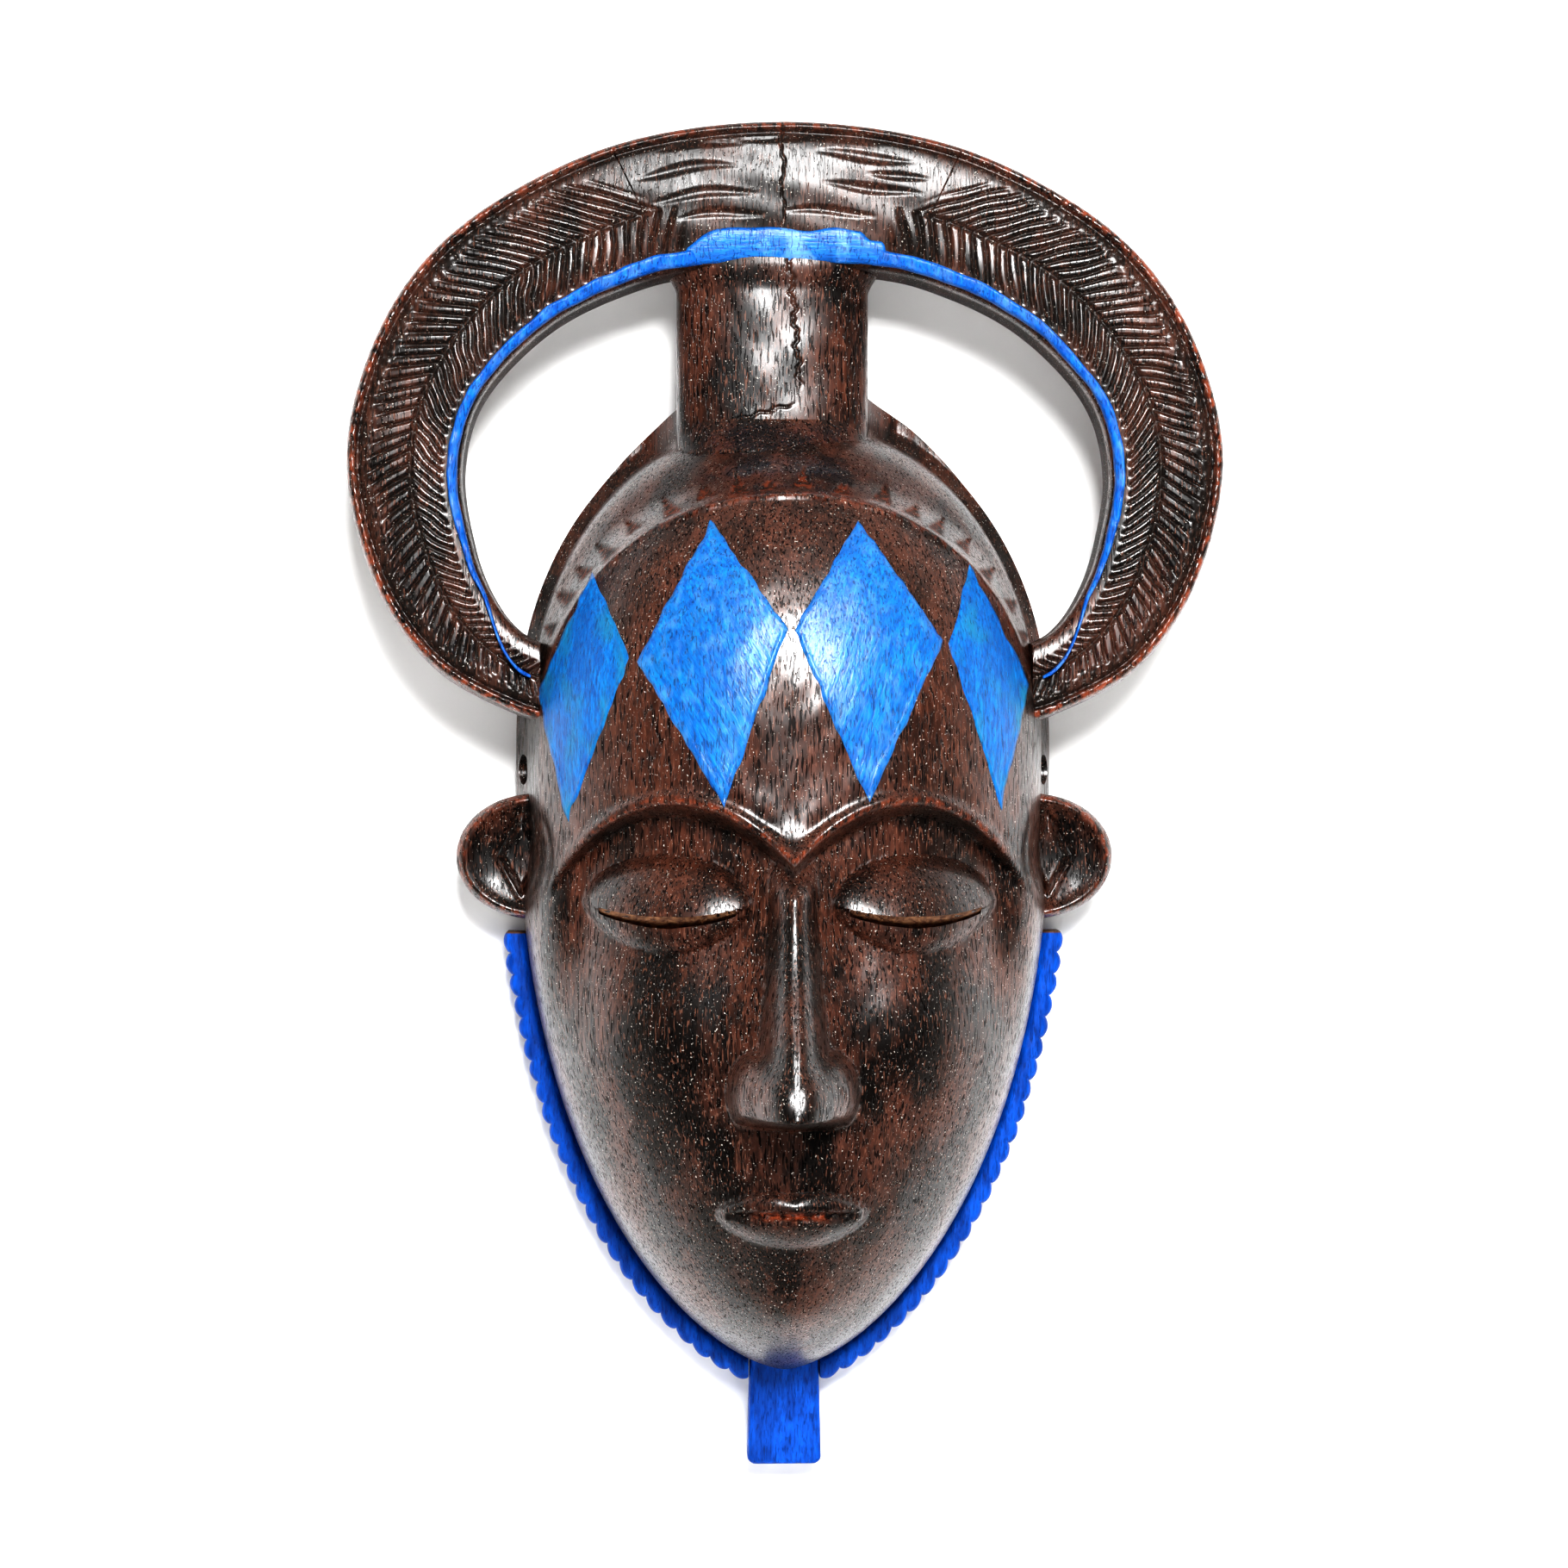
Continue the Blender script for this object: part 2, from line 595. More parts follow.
def carve(obj, cutters):
    """Cuts the tools out of the object for good; the cut faces take each tool's material."""
    for tool in cutters:
        boolean = obj.modifiers.new(tool.name, "BOOLEAN")
        boolean.operation = "DIFFERENCE"
        boolean.solver = "EXACT"
        boolean.material_mode = "TRANSFER"
        boolean.object = tool
    bpy.context.view_layer.update()
    whole = obj.evaluated_get(bpy.context.evaluated_depsgraph_get())
    carved = bpy.data.meshes.new_from_object(whole)
    obj.modifiers.clear()
    obj.data = carved
    carved.set_sharp_from_angle(angle=math.radians(42))
    for tool in cutters:
        bpy.data.objects.remove(tool, do_unlink=True)


# ---- ring crest


def smooth_outline(points, shares):
    """Points at shares of the length of a smooth curve through a half outline of the crest."""
    scale = (CREST_HALF_WIDTH / CREST_OUTER[5][0], CREST_TOP_Z / CREST_OUTER[0][1])
    knots = np.array(points, float) * np.array(scale)
    mirrored = knots[1] * np.array([-1, 1])
    knots = np.vstack([mirrored, knots, 2 * knots[-1] - knots[-2]])
    fine = []
    for a, b, c, d in zip(knots, knots[1:], knots[2:], knots[3:]):
        for t in np.linspace(0, 1, 40, endpoint=False):
            bend = (2 * a - 5 * b + 4 * c - d) * t * t + (3 * b - a - 3 * c + d) * t**3
            fine.append(b + 0.5 * ((c - a) * t + bend))
    fine.append(knots[-2])
    return line_points(np.array(fine), shares)


def crest_edges(shares):
    """The crest's inner and outer edge at shares of its length from the top; negative is to the left."""
    edges = []
    for outline in (CREST_INNER, CREST_OUTER):
        edge = smooth_outline(outline, np.abs(shares))
        edge[:, 0] *= np.where(shares < 0, -1.0, 1.0)
        edges.append(edge)
    return edges


CREST_LENGTH = 236.0  # along the vein, from the top centre to a root
OUTER_BEAD = 2.8
BORDER = 3.2
INNER_BORDER = 5.2
CUT_PITCH = 3.4
OUTER_LEAN = (1.15, 0.40)  # slant of the outer cuts near the bridge and lower on the ring
INNER_LEAN = (0.5, 1.5)
CREST_ROOT_X = HEAD_HALF_WIDTH - 7.5
CREST_DOME = 3.4  # depth of the face's edges behind its plane
CREST_EDGE_ROUND = 1.2
BACK_EDGE_ROUND = 1.6
CREST_COLUMNS = 78
CREST_BACK_COLUMNS = 14
CREST_WALL = 7


def vein_place(width):
    """How far across the crest the vein between the cuts lies."""
    return INNER_BORDER + (width - INNER_BORDER - OUTER_BEAD - BORDER) * 0.44


def herringbone(run, across, width):
    """0 to 1 inside the chevron cuts and the vein between them."""
    length = np.abs(run)
    off = across - vein_place(width)
    lower = rise(40, 110, length)
    outer_lean = OUTER_LEAN[0] + (OUTER_LEAN[1] - OUTER_LEAN[0]) * lower
    inner_lean = INNER_LEAN[0] + (INNER_LEAN[1] - INNER_LEAN[0]) * lower
    lean = np.where(off > 0, off * outer_lean, -off * inner_lean)
    spread = length - 9 * np.tanh((length - 30) / 28)
    phase = (spread - lean + 0.6 * waver(run, across, 19, 11)) / CUT_PITCH
    index = np.floor(phase)
    jitter = np.sin(index * 12.9898 + np.sign(off) * 4.1 + np.sign(run) * 2.3)
    cut = np.maximum(1 - np.abs(phase - index - 0.5) / (0.24 + 0.05 * jitter), 0) ** 0.7
    ends = (0.9 + 0.9 * np.cos(index * 7.13)) * 0.9
    from_outer = width - across
    zone = rise(OUTER_BEAD + BORDER - 1.4 + ends, OUTER_BEAD + BORDER + 2.2 + ends, from_outer)
    zone = zone * rise(INNER_BORDER - 0.6, INNER_BORDER + 0.9, across)
    start = rise(0, 7, length - 31 - np.where(off > 0, 4 + 1.1 * off, 0))
    vein = bump(off, 0.55) * rise(38, 44, length)
    return np.maximum(cut * zone * start, vein)


def crest_relief(run, across, width):
    """Height of the carving over the crest's plain face.

    run is mm along the crest from its top, negative to the left; across is mm from its inner edge.
    """
    from_outer = width - across
    bead = 1.1 * np.sqrt(np.maximum(1 - ((from_outer - OUTER_BEAD / 2) / (OUTER_BEAD / 2)) ** 2, 0))
    bead = bead * (1 + 0.15 * waver(run, across * 3, 12, 33))
    groove = -1.0 * bump(from_outer - OUTER_BEAD - 0.4, 0.55)
    border = 1 - rise(OUTER_BEAD + BORDER, OUTER_BEAD + BORDER + 2, from_outer)
    stipple = 0.18 * waver(run, across, 2.6, 34) * border * rise(45, 75, np.abs(run))
    dished = -0.7 * bump(across - vein_place(width), 6) * rise(30, 60, np.abs(run))
    return bead + groove + dished + stipple - 1.0 * herringbone(run, across, width)


# Gouge scoops of the bridge: centre along it, height above the inner edge, half length, half width
FACETS = (
    (-27, 26, 15, 1.5), (-24, 19, 17, 1.4), (-20, 13.5, 15, 1.2), (-22, 32, 12, 1.2),
    (20, 29, 14, 1.5), (24, 21, 15, 1.4), (13, 14, 16, 1.1), (4, 33, 22, 1.1), (30, 25, 9, 1.2),
)


def bridge_relief(run, across):
    """Shallow leaf-shaped gouge scoops along the plain middle, and the drying crack across it."""
    plain = 1 - rise(36, 50, np.abs(run))
    scoops = 0
    for centre, height, reach, half in FACETS:
        bow = 1 - np.minimum(((run - centre) / reach) ** 2, 1)
        off = (across - height - 0.5 * np.sin(run * 0.2)) / (half * bow + 0.05)
        scoops = np.minimum(scoops, -0.42 * bow * np.maximum(1 - off**2, 0))
    crack = -0.6 * bump(run - crack_place(across), 0.24) * rise(9.5, 12, across)
    crack = crack * (0.65 + 0.35 * np.sin(across * 2.1))
    hand = 0.26 * waver(run, across * 2.5, 34, 22)
    return plain * (scoops + hand + crack)


def crack_place(across):
    """How far along the bridge its drying crack lies."""
    return -1.3 + 0.5 * np.sin(across * 0.55) + 0.3 * np.sin(across * 1.7)


def crest_face(run, across, width):
    """Depth (Y) of the crest's carved face."""
    from_edge = np.minimum(across, width - across)
    soften = CREST_EDGE_ROUND * (1 - np.minimum(from_edge / CREST_EDGE_ROUND, 1)) ** 2
    relief = crest_relief(run, across, width) + bridge_relief(run, across)
    plain = CREST_FACE_Y + CREST_DOME - crest_crown(across, width) + soften
    return plain - relief * rise(0, 0.5, from_edge)


def crest_back(run, across, width):
    """Depth (Y) of the crest's rough back."""
    from_edge = np.minimum(across, width - across)
    soften = BACK_EDGE_ROUND * (1 - np.minimum(from_edge / BACK_EDGE_ROUND, 1)) ** 2
    return CREST_BACK_Y - soften - 0.25 - 0.2 * waver(run, across, 18, 31)


def crest_marks(run, across, width, columns):
    """Where the crest is worn and where it is cut or matte: its face, outer wall, back and inner wall."""
    from_outer = width - across
    worn = np.zeros((len(run), columns))
    worn[:, :CREST_COLUMNS] = 0.7 * bump(from_outer - 1.2, 1.1)
    split = bump(run - crack_place(across), 0.7) * rise(0, 9, across - width + 9)
    worn[:, :CREST_COLUMNS] += 0.8 * split
    worn[:, CREST_COLUMNS:CREST_COLUMNS + CREST_WALL] = 0.3
    scoops = rise(0.25, 0.6, -bridge_relief(run, across))
    outside = 1 - rise(OUTER_BEAD + BORDER - 1, OUTER_BEAD + BORDER + 2, from_outer)
    matte = np.maximum(0.75 * outside * rise(OUTER_BEAD, OUTER_BEAD + 0.8, from_outer), 0.6 * scoops)
    matte = np.maximum(matte, 0.62 * (1 - rise(40, 66, np.abs(run))))
    cut = np.zeros((len(run), columns))
    cut[:, :CREST_COLUMNS] = np.maximum(herringbone(run, across, width), matte)
    cut[:, -CREST_WALL:] = 0.9
    return {"worn": worn, "cut": cut}


def crest_piece(name, shares, paint, slot, *nodes):
    inner, outer = crest_edges(shares)
    for edge in (inner, outer):
        buried = (np.abs(edge[:, 0]) < CREST_ROOT_X) & (np.abs(shares) > 0.8)
        edge[buried, 0] = np.sign(edge[buried, 0]) * CREST_ROOT_X
    width = np.linalg.norm(outer - inner, axis=1)[:, None]
    across = np.linspace(0, 1, CREST_COLUMNS)[None, :] * width
    back_across = np.linspace(1, 0, CREST_BACK_COLUMNS)[None, :] * width
    run = (shares * CREST_LENGTH)[:, None] * np.ones_like(across)
    face_y = crest_face(run, across, width)
    wall = np.linspace(0, 1, CREST_WALL + 2)[1:-1]
    deep = CREST_BACK_Y - BACK_EDGE_ROUND
    swell = 0.35 * np.sin(wall * math.pi)[None, :]
    ring_across = np.concatenate([across, width + swell, back_across, -swell * np.ones_like(width)], axis=1)
    ring_y = np.concatenate([
        face_y,
        face_y[:, -1:] + (deep - face_y[:, -1:]) * wall,
        crest_back(run[:, :1], back_across, width),
        deep + (face_y[:, :1] - deep) * wall,
    ], axis=1)
    points = strip_points(inner, (outer - inner) / width, ring_across, ring_y)
    rows, ring = ring_y.shape
    marks = crest_marks(run, across, width, ring)
    return piece(name, points, ring_faces(rows, ring), paint, slot, *nodes, marks=marks)


def crest_bead(name, shares, width_of, height, paint, slot, node, seed):
    """A painted half-round strip just outside the crest's inner edge; width_of gives its width."""
    inner, outer = crest_edges(shares)
    width = np.linalg.norm(outer - inner, axis=1)[:, None]
    run = (shares * CREST_LENGTH)[:, None]
    steps = np.linspace(0, 1, 19)[None, :]
    ends = np.minimum(np.abs(run - run[0]), np.abs(run - run[-1]))
    taper = 0.25 + 0.75 * rise(0, 3, ends)
    low = 1.0 + 0.18 * waver(run, run * 0.3, 17, seed) + 8.0 * rise(0.85, 0.96, np.abs(run) / CREST_LENGTH)
    high = low + width_of(run) * (1 + 0.07 * waver(run, run * 0.2, 15, seed + 1)) * (0.6 + 0.4 * taper)
    across = low + (high - low) * steps
    crown = crest_crown(across, width)
    uneven = 1 + 0.15 * waver(run, steps * 4, 11, seed + 2)
    lift = height * np.maximum(1 - (steps * 2 - 1) ** 4, 0) ** 0.6 * uneven * taper
    top = CREST_FACE_Y + CREST_DOME - crown - lift - 0.10
    under = CREST_FACE_Y + CREST_DOME - crown[:, ::-1] + 1.5
    across = np.concatenate([across, across[:, ::-1]], axis=1)
    y = np.concatenate([top, under], axis=1)
    points = strip_points(inner, (outer - inner) / width, across, y)
    marks = {"rim": 0.05 * np.minimum(across - low, high - across)}
    faces = ring_faces(len(shares), across.shape[1])
    return piece(name, points, faces, paint, slot, node, marks=marks)


def crest_crown(across, width):
    """Height of the crest's rounded cross-section."""
    return 3.2 * np.sqrt(np.maximum(1 - ((across / width - 0.5) * 2) ** 2, 0)) ** 0.9


def bead_width(run):
    """The bead is narrow low on the ring and grows towards the band over the post."""
    length = np.abs(run)
    return 2.9 + 1.2 * (1 - rise(35, 110, length)) - 1.7 * rise(150, 215, length)


def band_width(run):
    """The hand-painted band: full over the post, stepping down raggedly to the beads at both ends."""
    left = 0.50 * (1 - rise(-37, -22, run))
    right = 0.26 * rise(23, 28, run) + 0.26 * rise(31, 35, run)
    return 8.5 * (1 - left - right)


# ---- post, ears, beard, tab, lozenges


def post_cracks(x, z, top_z):
    """0 to 1 inside the drying cracks on the post's front."""
    crack_x = 4.4 + 3.2 * (top_z - z) / 40 + 0.5 * math.sin(z * 0.9) + 0.3 * math.sin(z * 2.3)
    crack = bump(x - crack_x, 0.25) * rise(top_z - 33, top_z - 26, z)
    low_z = 8.5 + (x + 6) * 0.28 + 0.4 * np.sin(x * 1.3)
    low_crack = 0.7 * bump(z - low_z, 0.28) * rise(-14, -11, x) * (1 - rise(3, 6, x))
    return np.maximum(crack, low_crack)


def post(paint):
    low, high = cad("crest_post")
    turn = np.linspace(0, math.tau, 420, endpoint=False)
    cosine, sine = np.cos(turn), np.sin(turn)
    rows, cuts = [], []
    for z in np.linspace(low[2] - 3, high[2] + 2.5, 190):
        flare = 2.8 * rise(high[2] - 6, high[2] + 1, z)
        x = (POST_HALF_WIDTH + flare) * signed_power(cosine, 0.8)
        y = POST_Y + (POST_HALF_DEPTH + flare * 0.3) * signed_power(sine, 0.9)
        cut = post_cracks(x, z, high[2]) * (sine < 0)
        hand = 0.16 * waver(x, z, 17, 41)
        rows.append(np.stack([POST_X + x, y + hand + 0.6 * cut, np.full_like(x, z)], axis=-1))
        cuts.append(cut)
    points = np.array(rows)
    faces = ring_faces(*points.shape[:2])
    points = points.reshape(-1, 3)
    marks = {"cut": np.array(cuts)}
    return piece("crest_post_wood", points, faces, paint, "post_wood", "crest_post", marks=marks)


EAR_EDGE_ROUND = 2.2
EAR_LOZENGE_X = 6.0  # its half width, and its centre's distance from the ear's root
EAR_LOZENGE_HALF_HEIGHT = 10.5


def ear(name, sign, paint, node):
    """A flat half disc with a rim, a shallow dish and a raised lozenge."""
    low, high = cad(node)
    back, front = high[1], low[1]
    mid_z, half = (low[2] + high[2]) / 2, (high[2] - low[2]) / 2
    root = HEAD_HALF_WIDTH - 8.0
    reach = max(abs(low[0]), abs(high[0])) - root
    shares, turns = np.linspace(0, 1, 60), np.linspace(-math.pi / 2, math.pi / 2, 90)
    share, turn = np.meshgrid(shares, turns, indexing="ij")
    x = root + reach * share * np.abs(np.cos(turn)) ** 0.9
    z = mid_z + half * share * np.sin(turn)
    off = (1 - share) * half
    rim = 1.1 * bump(off - 1.6, 1.4)
    dish = -2.4 * rise(1.5, 11.0, off)
    inside = np.abs((x - root - EAR_LOZENGE_X) / EAR_LOZENGE_X)
    inside = inside + np.abs((z - mid_z) / EAR_LOZENGE_HALF_HEIGHT)
    raised = 1.8 * rise(0, 0.35, 1 - inside) - 0.9 * bump(inside - 1.1, 0.12)
    front_edge = EAR_EDGE_ROUND * (1 - np.minimum(off / 1.6, 1)) ** 2
    back_edge = EAR_EDGE_ROUND * (1 - np.minimum(off / 2.5, 1)) ** 2
    y_front = front + 1.9 - rim - dish - raised + front_edge + 0.12 * waver(x, z, 9, 51)
    sides = [np.stack([sign * x, y, z], axis=-1).reshape(-1, 3) for y in (y_front, back - back_edge)]
    worn = np.concatenate([0.5 * bump(off - 1.0, 0.9).ravel(), np.zeros(off.size)])
    faces = slab_faces(*share.shape)
    return piece(name, np.concatenate(sides), faces, paint, "ear_wood", node, marks={"worn": worn})


SCALLOPS = 24
SCALLOP_DEPTH = 1.3
BEARD_WIDTH = 6.0
BEARD_INSET = 2.0
BEARD_END_X = 9.4
# Front of the beard's section: share of its width, mm behind its foremost face
BEARD_SECTION = (
    (0.0, 2.0), (0.25, 1.6), (0.31, 0.8), (0.40, 0.15), (0.55, 0), (0.70, 0.05),
    (0.84, 0.3), (0.93, 0.8), (0.975, 1.6), (1.0, 2.6), (1.0, 5.5),
)
BEARD_FACE = slice(4, 9)  # the section's columns that carry the brushed unevenness


def jaw_line(offset, steps, top_z):
    """Points of the jaw's right half, moved outwards, from the ear to the beard's lower end."""
    angles = np.linspace(-0.02, -math.pi / 2, 1200)
    line = np.stack(egg_point(1.0, angles, *HEAD_EGG), axis=-1)
    tangent = np.gradient(line, axis=0)
    normal = np.stack([-tangent[:, 1], tangent[:, 0]], axis=-1)
    line = line + offset * normal / np.linalg.norm(normal, axis=1)[:, None]
    line = line[(line[:, 1] < top_z) & (line[:, 0] > BEARD_END_X)]
    return line_points(line, np.linspace(0, 1, steps))


def beard(name, sign, paint, node):
    low, high = cad(node)
    back, front = high[1], low[1]
    steps = SCALLOPS * 16 + 1
    inner = jaw_line(-BEARD_INSET, steps, high[2])
    ray = jaw_line(BEARD_WIDTH, steps, high[2]) - inner
    reach = np.linalg.norm(ray, axis=1)[:, None]
    phase = (np.arange(steps) * SCALLOPS / (steps - 1))[:, None]
    swing = np.abs(np.sin(math.pi * phase)) ** 0.7
    edge = reach - SCALLOP_DEPTH * (1 - swing) + 0.15 * waver(phase * 5, 0 * phase, 16, 61)
    section = [(0.0, back)] + [(share, front + deep) for share, deep in BEARD_SECTION]
    section += [(1.0, back - 1.0), (0.97, back)]
    across = np.concatenate([(edge if share > 0.5 else reach) * share for share, _ in section], axis=1)
    y = np.ones_like(phase) * np.array([deep for _, deep in section])
    y[:, BEARD_FACE] += 0.12 * waver(phase * 5, across[:, BEARD_FACE], 7, 62)
    points = strip_points(inner, ray / reach, across, y) * np.array([sign, 1, 1])
    bare = np.zeros(across.shape)
    bare[:2] = 1
    return piece(name, points, ring_faces(*across.shape), paint, "beard_paint", node, marks={"bare": bare})


TAB_TOP_HALF_WIDTH = 9.0
TAB_EDGE_ROUND = 1.3


def tab(paint):
    """A flat tongue that widens downwards from under the chin."""
    low, high = cad("beard_tab")
    turn = np.linspace(0, math.tau, 64, endpoint=False)
    cosine, sine = np.cos(turn), np.sin(turn)
    mid_y, half_depth = (high[1] + low[1]) / 2, (high[1] - low[1]) / 2
    top_z, bottom_z = CHIN_Z + 6, low[2]
    rows = []
    for share in np.linspace(0, 1, 60):
        z = top_z + (bottom_z - top_z) * share
        half_width = TAB_TOP_HALF_WIDTH + (high[0] - TAB_TOP_HALF_WIDTH) * share
        pinch = TAB_EDGE_ROUND * (1 - min(max(0.0, z - bottom_z) / 1.6, 1)) ** 2
        x = (half_width - pinch) * signed_power(cosine, 0.16)
        y = mid_y + (half_depth - pinch * 0.5) * signed_power(sine, 0.22)
        rows.append(np.stack([x, y, np.full_like(x, z)], axis=-1))
    points = np.array(rows)
    faces = ring_faces(*points.shape[:2])
    points[..., 1] += 0.12 * waver(points[..., 0], points[..., 2], 9, 71)
    return piece("beard_tab_paint", points.reshape(-1, 3), faces, paint, "beard_paint", "beard_tab")


# Front-view corners of the painted lozenges: top, right, bottom and left
LOZENGES = {
    "lozenge_far_left": ((-50, -32.5), (-40.2, -55), (-56, -96), (-64.5, -63)),
    "lozenge_left": ((-20, -20.7), (-1.4, -48.4), (-17, -92.0), (-38.4, -55.8)),
    "lozenge_right": ((16.6, -20.6), (37.8, -50.7), (18.6, -91.0), (0.2, -48.8)),
    "lozenge_far_right": ((45.6, -31), (62.2, -60.6), (53.2, -92.8), (39.2, -51.5)),
}


LOZENGE_SIDE = 90
LOZENGE_UNDERSIDE = -0.35


def lozenge(name, corners, seed, paint):
    """A film of paint that follows the carved forehead, with a thicker rim and its underside in the wood."""
    steps = np.linspace(0, 1, LOZENGE_SIDE)
    u, v = np.meshgrid(steps, steps, indexing="ij")
    top, right, bottom, left = (np.array(c, float)[:, None, None] for c in corners)
    x, z = (1 - u) * (1 - v) * top + u * (1 - v) * right + u * v * bottom + (1 - u) * v * left
    rim = np.minimum(np.minimum(u, 1 - u), np.minimum(v, 1 - v))
    near = 1 - rise(0, 0.12, rim)
    x = x + 0.35 * near * waver(x, z, 9, seed)
    z = z + 0.45 * near * waver(x, z, 7, seed + 1)
    film = 0.03 + 0.13 * rise(0, 0.03, rim) + 0.14 * bump(rim - 0.035, 0.016)
    film = film + 0.02 * waver(x * 2.2, z * 0.5, 5, seed + 2)
    depth = carved_depth(x, z)
    slope_x = carved_depth(x + 0.5, z) - carved_depth(x - 0.5, z)
    slope_z = carved_depth(x, z + 0.5) - carved_depth(x, z - 0.5)
    length = np.sqrt(1 + slope_x**2 + slope_z**2)
    layers = []
    for lift in (film, LOZENGE_UNDERSIDE):
        step = lift / length
        layer = np.stack([x - step * slope_x, -depth - step, z - step * slope_z], axis=-1)
        layers.append(layer.reshape(-1, 3))
    faces = slab_faces(LOZENGE_SIDE, LOZENGE_SIDE)
    marks = {"rim": np.tile(rim.ravel(), 2)}
    return piece(name + "_paint", np.concatenate(layers), faces, paint, "lozenge_paint", name, marks=marks)


# ---- materials


def ramp_node(tree, value, low, high, start, end):
    """Turns a value between low and high into one between start and end, and stops there."""
    node = tree.nodes.new("ShaderNodeMapRange")
    tree.links.new(value, node.inputs["Value"])
    for key, number in (("From Min", low), ("From Max", high), ("To Min", start), ("To Max", end)):
        node.inputs[key].default_value = number
    return node.outputs["Result"]


class Nodes:
    """Short names for the nodes of one material."""

    def __init__(self, name):
        self.material = bpy.data.materials.new(name)
        self.material.use_nodes = True
        self.tree = self.material.node_tree
        self.shader = self.tree.nodes["Principled BSDF"]
        self.place = self.add("ShaderNodeTexCoord").outputs["Object"]

    def add(self, kind, **settings):
        node = self.tree.nodes.new(kind)
        for key, value in settings.items():
            setattr(node, key, value)
        return node

    def link(self, source, target):
        self.tree.links.new(source, target)

    def feed(self, socket, value):
        if isinstance(value, bpy.types.NodeSocket):
            self.link(value, socket)
        elif isinstance(value, tuple):
            socket.default_value = (*value, 1.0)
        else:
            socket.default_value = value

    def noise(self, cell, detail=3.0, roughness=0.5, offset=(0, 0, 0), turn=0.0):
        """Noise with cells of the given size in mm along X, Y and Z; turn leans them over."""
        place = self.place
        if turn:
            lean = self.add("ShaderNodeMapping")
            lean.inputs["Rotation"].default_value = (0, turn, 0)
            self.link(place, lean.inputs["Vector"])
            place = lean.outputs["Vector"]
        mapping = self.add("ShaderNodeMapping")
        mapping.inputs["Scale"].default_value = [1 / (MM * size) for size in cell]
        mapping.inputs["Location"].default_value = offset
        self.link(place, mapping.inputs["Vector"])
        node = self.add("ShaderNodeTexNoise")
        node.inputs["Scale"].default_value = 1.0
        node.inputs["Detail"].default_value = detail
        node.inputs["Roughness"].default_value = roughness
        self.link(mapping.outputs["Vector"], node.inputs["Vector"])
        return node.outputs["Fac"]

    def ramp(self, value, low, high, start=0.0, end=1.0):
        return ramp_node(self.tree, value, low, high, start, end)

    def math(self, operation, a, b, clamp=False):
        node = self.add("ShaderNodeMath", operation=operation, use_clamp=clamp)
        self.feed(node.inputs[0], a)
        self.feed(node.inputs[1], b)
        return node.outputs[0]

    def times(self, a, b, clamp=False):
        return self.math("MULTIPLY", a, b, clamp)

    def mix(self, factor, a, b):
        node = self.add("ShaderNodeMix", data_type="RGBA")
        self.feed(node.inputs["Factor"], factor)
        self.feed(node.inputs[6], a)
        self.feed(node.inputs[7], b)
        return node.outputs[2]

    def mark(self, name):
        return self.add("ShaderNodeAttribute", attribute_name=name).outputs["Fac"]

    def bump(self, height, distance, target="Normal"):
        """Bumps of up to distance mm, for the surface or for the coat over it."""
        node = self.add("ShaderNodeBump")
        node.inputs["Distance"].default_value = distance * MM
        self.feed(node.inputs["Height"], height)
        self.link(node.outputs["Normal"], self.shader.inputs[target])

    def set(self, name, value):
        self.feed(self.shader.inputs[name], value)


BLACK_STAIN = (0.0060, 0.0038, 0.0030)
RED_STAIN = (0.070, 0.0220, 0.0118)
STREAK_BROWN = (0.120, 0.044, 0.027)
GRAIN_BLACK = (0.004, 0.0025, 0.002)
PORE_BLACK = (0.002, 0.001, 0.0008)
PORE_PALE = (0.19, 0.080, 0.050)
WORN_RED = (0.34, 0.070, 0.024)
CUT_BROWN = (0.022, 0.015, 0.012)
CHIP_WHITE = (0.50, 0.47, 0.42)


